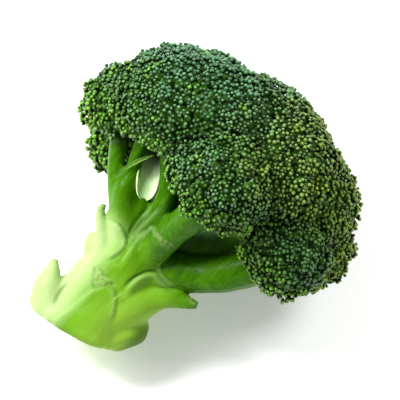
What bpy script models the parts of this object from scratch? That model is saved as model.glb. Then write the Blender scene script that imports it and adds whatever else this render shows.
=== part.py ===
"""Broccoli head, cut from the plant and lying on its side.

The head is modelled upright, as it grew, with its stalk's cut end at the origin and its crown above.
At the end everything hangs from one empty, which lays the head down: it turns the head until it rests
on the three lowest points of its side, the way it would come to rest on a table.
"""

import math

import bmesh
import bpy
import numpy as np
from mathutils import Matrix, Vector
from mathutils.bvhtree import BVHTree

# Overall sizes, in metres. Heights are above the middle of the cut end.
CROWN_RADIUS = 0.074
CROWN_LEVEL = 0.099
CROWN_OFFSET = 0.006
STALK_RADIUS = 0.0225
FORK_HEIGHT = 0.046

# The core stem, which carries the stalk on into the crown.
CORE_RADIUS = 0.0115
CORE_DROP = 0.017
CORE_TOP = CROWN_LEVEL - CORE_DROP

# How the head is cut and laid down.
CUT_SLANT = math.radians(11.0)
REST_AZIMUTH = math.radians(73.0)
REST_TILT = math.radians(28.0)

# Stems under the florets. They start this far down inside the stalk and the core stem, and this far
# out from their axis as a share of their radius.
FORK_SINK = 0.003
CORE_SINK = 0.008
FORK_SPREAD = 0.50
CORE_SPREAD = 0.25
STEM_FLARE = 1.25
STEM_ROOM = 0.0040
STEM_POINTS = 7
TUBE_DETAIL = 3

# Floret domes: how far below the centre the flat base sits, as a share of the dome's radius, how the
# base leans, and the wall that keeps the outer domes off the core stem.
BASE_DEPTH = 0.36
BASE_LEAN_OUTER = math.radians(70.0)
BASE_LEAN_INNER = math.radians(66.0)
CORE_CLEARANCE = 0.0085
CORE_WALL_DROP = 0.024
CORE_WALL_LEAN = math.radians(24.0)
LOBE_HEIGHT = 0.0016
LOBE_COUNT = 5.0
DOME_SEGMENTS = 24
DOME_RINGS = 14

# Clearance between flat faces that touch, and round the curved faces that pieces are trimmed to. Points
# closer together than MERGE are one point.
GAP = 0.0003
TRIM_GAP = 0.0004
MERGE = 1e-6

# Each floret: name, azimuth in degrees, then reach from the crown's axis, rise above the crown's base
# and dome radius, as fractions of CROWN_RADIUS, and its stem's thickness as a fraction of the dome's.
# The front of the head is at -90 degrees. A floret that reaches out less than UPRIGHT_REACH stands upright.
UPRIGHT_REACH = 0.10
OUTER_FLORETS = (
    ("front", -86, 0.62, 0.08, 0.375, 0.24),
    ("front_right", -28, 0.715, -0.06, 0.325, 0.32),
    ("right", 12, 0.70, -0.02, 0.365, 0.29),
    ("back_right", 51, 0.64, -0.07, 0.380, 0.28),
    ("back", 95, 0.64, -0.09, 0.380, 0.28),
    ("back_left", 143, 0.66, -0.20, 0.360, 0.27),
    ("left", -174, 0.69, 0.00, 0.345, 0.23),
    ("front_left", -144, 0.62, 0.15, 0.365, 0.20),
)
INNER_FLORETS = (
    ("upper_right", -2, 0.59, 0.20, 0.345, 0.19),
    ("upper_front_right", -52, 0.46, 0.30, 0.385, 0.20),
    ("upper_front_left", -118, 0.42, 0.32, 0.375, 0.19),
    ("upper_left", 175, 0.56, 0.195, 0.332, 0.19),
    ("upper_back_left", 131, 0.52, 0.24, 0.380, 0.19),
    ("upper_back_right", 54, 0.45, 0.25, 0.370, 0.19),
    ("top", 0, 0.05, 0.385, 0.355, 0.17),
)

# Stalk sections: height as a fraction of FORK_HEIGHT, then half-width and half-depth as fractions of
# STALK_RADIUS.
STALK_SECTIONS = (
    (-0.30, 1.10, 1.04),
    (0.00, 1.10, 1.04),
    (0.20, 1.05, 1.00),
    (0.45, 0.95, 0.94),
    (0.70, 0.92, 0.92),
    (0.90, 0.98, 0.98),
    (1.05, 0.98, 0.98),
    (1.18, 0.86, 0.86),
)
RIB_COUNT = 5
RIB_HEIGHT = 0.035
RIB_TWIST = 9.0
SECTION_POINTS = 30

# Core stem sections: the share of the way from the stalk's top to the core's, and the radius as a
# fraction of CORE_RADIUS.
CORE_SECTIONS = (
    (0.15, 1.38),
    (0.32, 1.15),
    (0.60, 1.04),
    (0.85, 0.96),
    (0.95, 0.81),
    (1.00, 0.50),
)

# Trimmed leaf bases: name, then stations along the piece from inside the stalk to its tip. A station is
# x, y and half-thickness as fractions of STALK_RADIUS, after its height as a fraction of FORK_HEIGHT.
LEAF_BASES = (
    ("leaf_base_right_stub", (
        (0.70, 0.45, -0.35, 0.28),
        (0.80, 0.98, -0.58, 0.25),
        (0.87, 1.33, -0.71, 0.19),
        (1.00, 1.69, -0.84, 0.12),
    )),
    ("leaf_base_pointed_stub", (
        (0.95, -0.45, -0.35, 0.26),
        (1.04, -0.84, -0.53, 0.16),
        (1.12, -1.11, -0.62, 0.12),
        (1.21, -1.29, -0.67, 0.08),
    )),
    ("leaf_base_round_stub", (
        (0.70, -0.67, -0.13, 0.29),
        (0.80, -0.89, -0.18, 0.24),
        (0.89, -1.02, -0.18, 0.13),
    )),
    ("leaf_base_low_lobe", (
        (-0.13, 0.53, -0.27, 0.47),
        (0.13, 0.71, -0.31, 0.49),
        (0.35, 0.84, -0.31, 0.38),
        (0.50, 0.89, -0.31, 0.18),
    )),
    ("leaf_base_torn_flap", (
        (-0.26, -0.71, -0.27, 0.44),
        (-0.04, -0.89, -0.31, 0.42),
        (0.17, -1.16, -0.36, 0.31),
        (0.33, -1.29, -0.36, 0.16),
        (0.43, -1.38, -0.36, 0.06),
    )),
)

# The pale leaf stalk left standing in the hollow under the crown: the same kind of stations, but as
# fractions of CORE_TOP and CROWN_RADIUS, because it stands between the florets' stems.
INNER_LEAF_STALK = (
    (0.71, -0.054, -0.054, 0.058),
    (0.82, -0.135, -0.081, 0.061),
    (0.93, -0.216, -0.095, 0.065),
    (1.05, -0.284, -0.095, 0.058),
)
STATION_STEPS = 3

# Finishes: colour and roughness.
STALK_SKIN = ((0.36, 0.58, 0.09), 0.42)
STEM_SKIN = ((0.22, 0.45, 0.04), 0.45)
FLOWER_BUDS = ((0.045, 0.11, 0.025), 0.75)
LEAF_BASE_SKIN = ((0.45, 0.66, 0.18), 0.45)
SMOOTH_BELOW = math.radians(40.0)


def empty_scene():
    for item in list(bpy.data.objects):
        bpy.data.objects.remove(item, do_unlink=True)


def new_collection(name):
    collection = bpy.data.collections.new(name)
    bpy.context.scene.collection.children.link(collection)
    return collection


def new_material(name, finish):
    colour, roughness = finish
    material = bpy.data.materials.new(name)
    material.use_nodes = True
    shader = material.node_tree.nodes["Principled BSDF"]
    shader.inputs["Base Color"].default_value = (*colour, 1.0)
    shader.inputs["Roughness"].default_value = roughness
    shader.inputs["Metallic"].default_value = 0.0
    return material


def add_piece(name, shape, material, collection, head):
    """Turn a bmesh into a named, smooth-shaded object that hangs from the head's empty."""
    bmesh.ops.recalc_face_normals(shape, faces=shape.faces)
    mesh = bpy.data.meshes.new(name)
    shape.to_mesh(mesh)
    shape.free()
    mesh.materials.append(material)
    mesh.shade_smooth()
    mesh.set_sharp_from_angle(angle=SMOOTH_BELOW)
    piece = bpy.data.objects.new(name, mesh)
    collection.objects.link(piece)
    piece.parent = head
    return piece


def outward(azimuth, elevation=0.0):
    """Unit vector at this azimuth around the head's axis and elevation above the level."""
    level = math.cos(elevation)
    return Vector((level * math.cos(azimuth), level * math.sin(azimuth), math.sin(elevation)))


def clip(shape, point, normal):
    """Cut away what lies past a plane, on the side its normal points to, and close the cut."""
    everything = shape.verts[:] + shape.edges[:] + shape.faces[:]
    cut = bmesh.ops.bisect_plane(
        shape, geom=everything, dist=MERGE, plane_co=point, plane_no=normal, clear_outer=True
    )
    rim = [item for item in cut["geom_cut"] if isinstance(item, bmesh.types.BMEdge)]
    if rim:
        bmesh.ops.holes_fill(shape, edges=rim, sides=0)


def loft(rings):
    """Skin a stack of rings that hold the same number of points, with flat ends."""
    shape = bmesh.new()
    loops = [[shape.verts.new(point) for point in ring] for ring in rings]
    for lower, upper in zip(loops, loops[1:]):
        for index, corner in enumerate(lower):
            after = (index + 1) % len(lower)
            shape.faces.new((corner, lower[after], upper[after], upper[index]))
    shape.faces.new(list(reversed(loops[0])))
    shape.faces.new(loops[-1])
    bmesh.ops.triangulate(shape, faces=shape.faces[:], quad_method="FIXED")
    return shape


def stalk_ring(height, half_width, half_depth, rib_height):
    """One section of the stalk: an oval with shallow ribs, one below each leaf that grew there."""
    ring = []
    for index in range(SECTION_POINTS):
        turn = 2.0 * math.pi * index / SECTION_POINTS
        swell = 1.0 + rib_height * math.cos(RIB_COUNT * turn + RIB_TWIST * height / FORK_HEIGHT)
        ring.append((half_width * swell * math.cos(turn), half_depth * swell * math.sin(turn), height))
    return ring


def stalk_shape():
    """The thick stalk with its rounded shoulder, and the core stem on top, before the end is cut."""
    rings = []
    for share, half_width, half_depth in STALK_SECTIONS:
        height = share * FORK_HEIGHT
        rings.append(stalk_ring(height, half_width * STALK_RADIUS, half_depth * STALK_RADIUS, RIB_HEIGHT))
    shoulder = STALK_SECTIONS[-1][0] * FORK_HEIGHT
    for share, radius in CORE_SECTIONS:
        height = shoulder + share * (CORE_TOP - shoulder)
        rings.append(stalk_ring(height, radius * CORE_RADIUS, radius * CORE_RADIUS, 0.0))
    return loft(rings)


def make_stalk():
    """The stalk as it was cut from the plant."""
    shape = stalk_shape()
    cut_end(shape)
    return shape


def cut_end(shape):
    """The knife's cut through the bottom of the stalk."""
    clip(shape, (0.0, 0.0, 0.0), (math.sin(CUT_SLANT), 0.0, -math.cos(CUT_SLANT)))


def tube(path, radii):
    """A round, tapering stem along a path, with closed ends."""
    curve = bpy.data.curves.new("stem_path", "CURVE")
    curve.dimensions = "3D"
    curve.bevel_depth = 1.0
    curve.bevel_resolution = TUBE_DETAIL
    curve.use_fill_caps = True
    spline = curve.splines.new("POLY")
    spline.points.add(len(path) - 1)
    for point, place, radius in zip(spline.points, path, radii):
        point.co = (*place, 1.0)
        point.radius = radius
    guide = bpy.data.objects.new("stem_path", curve)
    bpy.context.scene.collection.objects.link(guide)
    evaluated = guide.evaluated_get(bpy.context.evaluated_depsgraph_get())
    mesh = bpy.data.meshes.new_from_object(evaluated)
    shape = bmesh.new()
    shape.from_mesh(mesh)
    bmesh.ops.remove_doubles(shape, verts=shape.verts, dist=MERGE)
    bpy.data.objects.remove(guide, do_unlink=True)
    bpy.data.meshes.remove(mesh)
    return shape


def rounded_path(stations, height_scale, width_scale):
    """Points and radii along a smooth curve through the stations."""
    places = [Vector((x * width_scale, y * width_scale, z * height_scale)) for z, x, y, size in stations]
    sizes = [size * width_scale for z, x, y, size in stations]
    path = []
    radii = []
    for index in range(len(places) - 1):
        before = places[max(index - 1, 0)]
        after = places[min(index + 2, len(places) - 1)]
        start_pull = (places[index + 1] - before) / 2.0
        end_pull = (after - places[index]) / 2.0
        for step in range(STATION_STEPS):
            part = step / STATION_STEPS
            path.append(hermite(places[index], start_pull, places[index + 1], end_pull, part))
            radii.append(sizes[index] + part * (sizes[index + 1] - sizes[index]))
    path.append(places[-1])
    radii.append(sizes[-1])
    return path, radii


def hermite(start, start_pull, end, end_pull, part):
    """A point on the smooth curve that leaves start and reaches end along the two pulls."""
    square = part * part
    cube = square * part
    return (
        (2.0 * cube - 3.0 * square + 1.0) * start
        + (cube - 2.0 * square + part) * start_pull
        + (3.0 * square - 2.0 * cube) * end
        + (cube - square) * end_pull
    )


class Floret:
    """Sizes and places of one dome of buds and of the stem under it."""

    def __init__(self, row, inner):
        name, azimuth, reach, rise, radius, thickness = row
        self.name = name
        self.inner = inner
        self.azimuth = math.radians(azimuth)
        self.radius = radius * CROWN_RADIUS
        self.stem_radius = thickness * self.radius
        self.centre = Vector((CROWN_OFFSET, 0.0, CROWN_LEVEL + rise * CROWN_RADIUS))
        self.centre += reach * CROWN_RADIUS * outward(self.azimuth)
        if reach < UPRIGHT_REACH:
            self.lean = Vector((0.0, 0.0, 1.0))
        else:
            self.lean = outward(self.azimuth, BASE_LEAN_INNER if inner else BASE_LEAN_OUTER)
        self.base = self.centre - BASE_DEPTH * self.radius * self.lean

    def stem_start(self):
        """Where the stem's middle line starts, well inside the stalk."""
        turn = math.atan2(self.base.y, self.base.x)
        if self.inner:
            return CORE_SPREAD * CORE_RADIUS * outward(turn) + Vector((0.0, 0.0, CORE_TOP - CORE_SINK))
        return FORK_SPREAD * STALK_RADIUS * outward(turn) + Vector((0.0, 0.0, FORK_HEIGHT - FORK_SINK))

    def stem_path(self):
        """The stem's middle line, up to the dome's flat base, and its radius at each point."""
        start = self.stem_start()
        end = self.base - GAP * self.lean
        span = (end - start).length
        path = []
        radii = []
        for index in range(STEM_POINTS):
            part = index / (STEM_POINTS - 1)
            path.append(hermite(start, end - start, end, self.lean * span, part))
            radii.append(self.stem_radius * (1.0 + (STEM_FLARE - 1.0) * part ** 2))
        return path, radii


def make_dome(floret, others):
    """A dome of buds: a lobed ball with a flat base, pressed flat where it meets its neighbours."""
    shape = bmesh.new()
    facing = floret.lean.to_track_quat("Z", "Y").to_matrix().to_4x4()
    bmesh.ops.create_uvsphere(
        shape, u_segments=DOME_SEGMENTS, v_segments=DOME_RINGS, radius=floret.radius
    )
    for vertex in shape.verts:
        direction = vertex.co.normalized()
        swell = math.sin(LOBE_COUNT * direction.x + floret.azimuth)
        swell *= math.sin(LOBE_COUNT * direction.y - floret.azimuth)
        swell *= math.cos(LOBE_COUNT * direction.z)
        vertex.co += LOBE_HEIGHT * swell * direction
    bmesh.ops.transform(shape, matrix=Matrix.Translation(floret.centre) @ facing, verts=shape.verts)
    clip(shape, floret.base, -floret.lean)
    for other in others:
        apart = other.centre - floret.centre
        distance = apart.length
        reach = (distance ** 2 + floret.radius ** 2 - other.radius ** 2) / (2.0 * distance)
        if reach < floret.radius + LOBE_HEIGHT:
            clip(shape, floret.centre + (reach - GAP / 2.0) * apart / distance, apart)
        if other.inner and not floret.inner:
            clear_stem(shape, floret.centre, other)
    if not floret.inner:
        foot = Vector((CROWN_OFFSET, 0.0, CROWN_LEVEL - CORE_WALL_DROP))
        foot += (CORE_RADIUS + CORE_CLEARANCE) * outward(floret.azimuth)
        clip(shape, foot, -outward(floret.azimuth, -CORE_WALL_LEAN))
    return shape


def clear_stem(shape, middle, floret):
    """Cut a dome back, with a flat face, where another floret's stem passes behind it."""
    start = floret.stem_start()
    along = (floret.base - start).normalized()
    aside = middle - start
    aside -= aside.dot(along) * along
    room = STEM_FLARE * floret.stem_radius + STEM_ROOM
    clip(shape, start + room * aside.normalized(), -aside)


def make_stem(floret, neighbours):
    """The branch under a floret, pressed flat against the branches beside it where they fork."""
    path, radii = floret.stem_path()
    shape = tube(path, radii)
    clip(shape, path[-1], floret.lean)
    for other in neighbours:
        own_way = floret.base - path[0]
        other_way = other.base - other.stem_start()
        across = (other_way.normalized() - own_way.normalized()).normalized()
        middle = (path[0] + other.stem_start()) / 2.0
        clip(shape, middle - GAP / 2.0 * across, across)
    return shape


def make_leaf_base(stations, height_scale, width_scale):
    """What is left of a leaf's stalk after the leaf was cut or torn away."""
    path, radii = rounded_path(stations, height_scale, width_scale)
    shape = tube(path, radii)
    cut_end(shape)
    return shape


def make_stalk_cutter():
    """The stalk grown by the gap, before its end is cut: its branches and leaf bases are trimmed to it."""
    shape = stalk_shape()
    bmesh.ops.recalc_face_normals(shape, faces=shape.faces)
    shape.normal_update()
    for vertex in shape.verts:
        vertex.co += TRIM_GAP * vertex.normal
    return shape


def make_stem_cutter(floret):
    """A stem grown by the gap: leaf bases that would run into it are trimmed to it."""
    path, radii = floret.stem_path()
    return tube(path, [radius + TRIM_GAP for radius in radii])


def add_cutter(name, shape, collection, head):
    mesh = bpy.data.meshes.new(name)
    shape.to_mesh(mesh)
    shape.free()
    cutter = bpy.data.objects.new(name, mesh)
    collection.objects.link(cutter)
    cutter.parent = head
    cutter.hide_render = True
    cutter.display_type = "WIRE"
    return cutter


def meets(piece, cutter):
    """Whether the surfaces of two objects under the head cross."""
    trees = []
    for item in (piece, cutter):
        shape = bmesh.new()
        shape.from_mesh(item.data)
        trees.append(BVHTree.FromBMesh(shape))
        shape.free()
    return bool(trees[0].overlap(trees[1]))


def trim(piece, cutter):
    """Take the cutter's shape out of a piece."""
    modifier = piece.modifiers.new("trim", "BOOLEAN")
    modifier.operation = "DIFFERENCE"
    modifier.object = cutter


def evaluated_shape(pieces):
    """All the pieces' points, and the head's centre of volume, in the upright frame."""
    graph = bpy.context.evaluated_depsgraph_get()
    points = []
    volume = 0.0
    moment = Vector((0.0, 0.0, 0.0))
    for piece in pieces:
        mesh = piece.evaluated_get(graph).data
        places = [vertex.co.copy() for vertex in mesh.vertices]
        points.extend(places)
        mesh.calc_loop_triangles()
        for triangle in mesh.loop_triangles:
            first, second, third = (places[index] for index in triangle.vertices)
            wedge = first.dot(second.cross(third)) / 6.0
            volume += wedge
            moment += wedge * (first + second + third) / 4.0
    return points, moment / volume


def resting_face(points, centre):
    """Outward normal of the hull face, under the centre, that is nearest the side to lie on."""
    wanted = outward(REST_AZIMUTH, -REST_TILT)
    shape = bmesh.new()
    for point in points:
        shape.verts.new(point)
    bmesh.ops.convex_hull(shape, input=shape.verts, use_existing_faces=False)
    middle = sum(points, Vector((0.0, 0.0, 0.0))) / len(points)
    best = None
    closeness = 0.0
    for face in shape.faces:
        normal = face.normal.copy()
        if normal.dot(face.calc_center_median() - middle) < 0.0:
            normal.negate()
        corners = [vertex.co for vertex in face.verts]
        sides = []
        for index, corner in enumerate(corners):
            along = corners[(index + 1) % len(corners)] - corner
            sides.append(along.cross(centre - corner).dot(normal))
        under = all(side > 0.0 for side in sides) or all(side < 0.0 for side in sides)
        if under and normal.dot(wanted) > closeness:
            closeness = normal.dot(wanted)
            best = normal
    shape.free()
    return best


def lay_down(head, pieces):
    """Turn the head onto its resting face, crown toward +X, and stand it on the level at the origin."""
    points, centre = evaluated_shape(pieces)
    up = -resting_face(points, centre)
    along = (Vector((0.0, 0.0, 1.0)) - up.z * up).normalized()
    turn = Matrix((along, up.cross(along), up))
    turned = np.array([turn @ point for point in points])
    low = turned.min(axis=0)
    high = turned.max(axis=0)
    shift = Vector((-(low[0] + high[0]) / 2.0, -(low[1] + high[1]) / 2.0, -low[2]))
    head.matrix_world = Matrix.Translation(shift) @ turn.to_4x4()


def build():
    empty_scene()
    collection = new_collection("broccoli_head")
    cutters = new_collection("cutters")
    head = bpy.data.objects.new("head_axis", None)
    collection.objects.link(head)

    stalk_green = new_material("stalk_skin", STALK_SKIN)
    stem_green = new_material("stem_skin", STEM_SKIN)
    bud_green = new_material("flower_buds", FLOWER_BUDS)
    leaf_green = new_material("leaf_base_skin", LEAF_BASE_SKIN)

    outer = [Floret(row, False) for row in OUTER_FLORETS]
    inner = [Floret(row, True) for row in INNER_FLORETS]
    florets = outer + inner

    stalk = add_piece("main_stalk", make_stalk(), stalk_green, collection, head)
    stalk_cutter = add_cutter("stalk_cutter", make_stalk_cutter(), cutters, head)
    pieces = [stalk]
    for floret in florets:
        group = inner if floret.inner else outer
        neighbours = [other for other in group if other is not floret]
        stem = add_piece("stem_" + floret.name, make_stem(floret, neighbours), stem_green, collection, head)
        trim(stem, stalk_cutter)
        others = [other for other in florets if other is not floret]
        dome = add_piece("floret_" + floret.name, make_dome(floret, others), bud_green, collection, head)
        pieces += [stem, dome]

    stub_shapes = [("inner_leaf_stalk", make_leaf_base(INNER_LEAF_STALK, CORE_TOP, CROWN_RADIUS))]
    for name, stations in LEAF_BASES:
        stub_shapes.append((name, make_leaf_base(stations, FORK_HEIGHT, STALK_RADIUS)))
    stubs = [add_piece(name, shape, leaf_green, collection, head) for name, shape in stub_shapes]
    for floret in florets:
        cutter = add_cutter("stem_cutter_" + floret.name, make_stem_cutter(floret), cutters, head)
        for stub in stubs:
            if meets(stub, cutter):
                trim(stub, cutter)
    for stub in stubs:
        trim(stub, stalk_cutter)
    pieces += stubs
    lay_down(head, pieces)


build()
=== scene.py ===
import math

import bmesh
import bpy
import numpy as np
from mathutils import Matrix, Vector
from mathutils.bvhtree import BVHTree
from mathutils.kdtree import KDTree


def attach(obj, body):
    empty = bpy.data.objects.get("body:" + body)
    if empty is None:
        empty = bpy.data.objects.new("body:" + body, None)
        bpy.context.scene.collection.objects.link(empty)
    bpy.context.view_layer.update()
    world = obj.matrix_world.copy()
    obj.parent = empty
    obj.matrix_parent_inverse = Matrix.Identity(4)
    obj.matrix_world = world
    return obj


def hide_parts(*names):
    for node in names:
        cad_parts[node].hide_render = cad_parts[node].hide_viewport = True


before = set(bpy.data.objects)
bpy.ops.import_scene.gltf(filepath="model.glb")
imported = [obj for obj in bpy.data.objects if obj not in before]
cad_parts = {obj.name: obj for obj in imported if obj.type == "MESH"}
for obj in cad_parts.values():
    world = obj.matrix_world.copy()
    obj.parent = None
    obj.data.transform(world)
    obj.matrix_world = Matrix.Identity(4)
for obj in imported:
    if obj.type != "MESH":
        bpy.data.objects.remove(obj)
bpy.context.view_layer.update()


# ---- Stalk and branches ----
# One continuous piece of crisp tissue: the thick stalk, the branches forking from it and the stubs of
# old leaf stalks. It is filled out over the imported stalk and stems, blended smooth where they join,
# then given the pads, creases and scars that the leaves left, and cut off at the foot.

# The head is shaped upright, as it grew, in millimetres: the stalk's axis along z, the cut end at zero
# and the front of the head at -90 degrees. It lies on its side on the table, its crown toward +X.
AXIS_RISE = 30.779
AXIS_ROLL = -72.39
CUT_MIDDLE = (-65.083, 7.483, 19.870)
MM = 0.001

SKIN_GRAIN = 0.74
SKIN_GROWTH = 0.35
BLEND_ROUNDS = 14
BLEND_GIVE = 0.5
LIMB_STEPS, LIMB_ROUND = 4, 20
CUT_FACING = np.array([0.190, 0.110, -0.976])
SPARE_FOOT = 3.0
# Tips that keep their points through the smoothing: x, y, height, and how far round each it is held.
KEEN_TIPS = ((-31, -8, 18, 9.0), (-28, -13, 55, 6.0), (37, -18, 46, 7.0))
TIP_HOLD = 0.88
LOBE_TUCK, TUCK_ACROSS, TUCK_HEIGHTS = 5.0, (12.0, 24.0), (3.0, 16.0)
RIM_WEAR, RIM_HEIGHT = 0.06, 3.0
SWELL, SWELL_LENGTH = 0.5, 26.0
DIMPLE, DIMPLE_LENGTH = 0.12, 9.0
SCAR_SINK, SCAR_ROUGH, SCAR_LENGTH = 0.35, 0.25, 2.6
# Where the low lobe's painted shade lies, across and in height.
LOW_SHADE_ACROSS, LOW_SHADE_HEIGHTS = (17.0, 25.0), (19.0, 25.0)

STEM_NODES = [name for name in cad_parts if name.startswith("stem_")]
STALK_NODES = ["main_stalk", "leaf_base_round_stub", "leaf_base_low_lobe", "leaf_base_torn_flap"]
FOOT_NODES = ["main_stalk", "leaf_base_torn_flap", "leaf_base_low_lobe"]
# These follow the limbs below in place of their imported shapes.
LIMB_STEMS = ("stem_front_left", "stem_left")
LIMB_STUBS = ["leaf_base_pointed_stub", "leaf_base_right_stub"]

# Limbs: where several branches are still one. Each is x, y, height and radius along its middle.
LIMBS = (
    ((-6, -5, 38, 11), (-12, -9, 50, 8.2), (-20.4, -10, 60, 6.4), (-33.6, -10, 72, 4.9),
     (-43, -8, 86, 4.3)),
    ((-14, -8, 52, 9.5), (-21, -12, 63, 6.8), (-26, -14, 74, 4.2), (-31, -16, 88, 3.6), (-33, -17, 96, 3.4)),
    ((-9, -10, 48, 9.4), (-18.4, -13, 60, 6.9), (-24.4, -15, 68, 5.8), (-28, -16, 73, 3.4)),
    ((-8, -9, 50, 9), (-12, -11, 60, 7.2), (-15, -12, 67, 5.4), (-16, -12, 71, 3.6)),
    ((-13, -11, 38, 5.6), (-19, -12.5, 43, 4), (-24.6, -13, 48.4, 2.7), (-28.2, -13, 53, 2.1),
     (-28, -13, 56.6, 1.2)),
    ((-2, -8, 50, 8.5), (-4, -13, 64, 6.2), (-8, -17, 80, 4.7), (-18, -20, 94, 4.5), (-26, -23, 105, 4.3)),
    ((6, -8, 40, 10), (16, -10, 50, 9.5), (29, -14, 58, 8.6), (38, -18, 66, 8.2), (48, -21, 80, 7)),
    ((5, -6, 44, 10), (10, -4, 56, 8), (17, -2, 68, 6.5), (24, -3, 80, 5.5)),
    ((2, -8, 40, 11), (3, -12, 52, 8.4), (4, -17, 64, 6.6), (7, -28, 84, 6)),
    ((2, 6, 40, 12), (4, 14, 54, 9.5), (6, 26, 74, 7)),
    ((-2, 4, 40, 12), (-12, 14, 56, 9), (-24, 23, 74, 6.5)),
    ((6, 2, 40, 12), (20, 8, 54, 9.5), (34, 14, 70, 7.5)),
    ((12, -2, 50, 8), (21, -3, 64, 8), (29, -5, 76, 7.5), (36, -8, 88, 6)),
    ((8, -8, 18, 12), (14, -11, 30, 10.2), (21, -13, 38, 6.2), (28, -15, 42, 4.2), (34, -17, 45, 3),
     (37, -18, 46, 2.2)),
)

LEAN_OVER = Matrix.Rotation(math.radians(90.0 - AXIS_RISE), 3, "Y")
LYING = np.array(LEAN_OVER @ Matrix.Rotation(math.radians(AXIS_ROLL), 3, "Z"))


def laid_down(points):
    """Points of the upright head, in millimetres, moved to where they lie on the table, in metres."""
    return MM * (points @ LYING.T + CUT_MIDDLE)


def stood_up(points):
    """The other way round: points on the table, in metres, as places on the upright head."""
    return (points / MM - CUT_MIDDLE) @ LYING


def read_mesh(mesh):
    """Points and triangles of a mesh."""
    points = np.zeros(3 * len(mesh.vertices))
    mesh.vertices.foreach_get("co", points)
    mesh.calc_loop_triangles()
    faces = np.zeros(3 * len(mesh.loop_triangles), dtype=np.int32)
    mesh.loop_triangles.foreach_get("vertices", faces)
    return points.reshape(-1, 3), faces.reshape(-1, 3)


def packed_shape(name):
    """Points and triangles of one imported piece, upright."""
    points, faces = read_mesh(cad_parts[name].data)
    return stood_up(points), faces


def length_of(vectors):
    """The length of each vector, kept as a column."""
    return np.linalg.norm(vectors, axis=-1, keepdims=True)


def unit(vectors):
    """Each vector at a length of 1."""
    return vectors / length_of(vectors)


def new_mesh(name, points, faces):
    """A mesh from arrays of points and triangles."""
    mesh = bpy.data.meshes.new(name)
    mesh.from_pydata(points.tolist(), [], faces.tolist())
    return mesh


def new_object(name, data):
    """An object in the scene, made of this data."""
    made = bpy.data.objects.new(name, data)
    bpy.context.scene.collection.objects.link(made)
    return made


def circle(sides):
    """So many points round a level circle of radius 1."""
    turn = 2.0 * np.pi * np.arange(sides) / sides
    return np.stack([np.cos(turn), np.sin(turn), 0.0 * turn], axis=1)


def triangles(*corners):
    """Triangles from rows of their first, second and third points."""
    return np.stack(np.broadcast_arrays(*corners), axis=1)


def lofted(rings, ends=None):
    """Closed shapes through rings of points, given as shape by ring by point, with a cap at each end."""
    count, steps, sides = rings.shape[:3]
    if ends is None:
        ends = rings[:, (0, -1)].mean(axis=2)
    points = np.concatenate([rings.reshape(count, -1, 3), ends], axis=1)
    here = np.arange(sides)
    after = (here + 1) % sides
    faces = []
    for low in range(0, (steps - 1) * sides, sides):
        faces.append(triangles(low + here, low + after, low + sides + after))
        faces.append(triangles(low + here, low + sides + after, low + sides + here))
    last = (steps - 1) * sides
    faces.append(triangles(steps * sides, after, here))
    faces.append(triangles(steps * sides + 1, last + here, last + after))
    offsets = points.shape[1] * np.arange(count)[:, None, None]
    return points.reshape(-1, 3), (np.concatenate(faces) + offsets).reshape(-1, 3)


def tubes(paths, radii, sides):
    """Round stems with closed ends, one along each path: radii for each path's points, or for all alike."""
    ahead = unit(np.gradient(paths, axis=1))
    whole = paths[:, -1] - paths[:, 0]
    upright = np.abs(whole[:, 2:]) > 0.8 * length_of(whole)
    beside = np.cross(whole, np.where(upright, (1.0, 0.0, 0.0), (0.0, 0.0, 1.0)))[:, None]
    beside = unit(beside - (beside * ahead).sum(axis=-1, keepdims=True) * ahead)
    above = np.cross(ahead, beside)
    across, up = circle(sides)[:, :2, None].swapaxes(0, 1)
    spokes = beside[:, :, None] * across + above[:, :, None] * up
    return lofted(paths[:, :, None] + radii[:, :, None, None] * spokes)


def smooth_path(stations, steps):
    """Stations joined by a smooth curve, with so many steps from each to the next."""
    stations = np.array(stations, dtype=float)
    padded = np.vstack([stations[:1], stations, stations[-1:]])
    pulls = (padded[2:] - padded[:-2]) / 2.0
    part = (np.arange(steps) / steps)[:, None]
    square, cube = part ** 2, part ** 3
    path = (2 * cube - 3 * square + 1) * stations[:-1, None] + (cube - 2 * square + part) * pulls[:-1, None]
    path += (3 * square - 2 * cube) * stations[1:, None] + (cube - square) * pulls[1:, None]
    return np.vstack([path.reshape(-1, stations.shape[1]), stations[-1:]])


def merged(shapes):
    """Several shapes as one list of points and one of faces."""
    points, faces, start = [], [], 0
    for shape_points, shape_faces in shapes:
        points.append(shape_points)
        faces.append(shape_faces + start)
        start += len(shape_points)
    return np.concatenate(points), np.concatenate(faces)


def outward_normals(points, faces):
    """The way out at each point of a closed skin."""
    corners = points[faces]
    across = np.cross(corners[:, 1] - corners[:, 0], corners[:, 2] - corners[:, 0])
    normals = np.zeros_like(points)
    for corner in range(3):
        for axis in range(3):
            normals[:, axis] += np.bincount(faces[:, corner], across[:, axis], len(points))
    return normals / np.maximum(length_of(normals), 1e-9)


def fused(points, faces, grain):
    """Overlapping closed shapes as one skin of even triangles."""
    mesh = new_mesh("fusing", points, faces)
    work = new_object("fusing", mesh)
    remesh = work.modifiers.new("fuse", "REMESH")
    remesh.mode = "VOXEL"
    remesh.voxel_size = grain
    skin = bpy.data.meshes.new_from_object(work.evaluated_get(bpy.context.evaluated_depsgraph_get()))
    points, faces = read_mesh(skin)
    bpy.data.objects.remove(work, do_unlink=True)
    for spent in (mesh, skin):
        bpy.data.meshes.remove(spent)
    return points, faces


def relaxed(points, faces, rounds, give):
    """A skin smoothed by drawing each point toward its neighbours, as far as it gives, so many times."""
    first = faces.ravel()
    second = faces[:, (1, 2, 0)].ravel()
    count = np.bincount(first, minlength=len(points))
    for _ in range(rounds):
        sums = [np.bincount(first, points[second, axis], len(points)) for axis in range(3)]
        points = points + give[:, None] * (np.stack(sums, axis=1) / count[:, None] - points)
    return points


def soft_step(values, low, high):
    """0 below low, 1 above high, and a smooth ramp between."""
    part = np.clip((values - low) / (high - low), 0.0, 1.0)
    return part * part * (3.0 - 2.0 * part)


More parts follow.
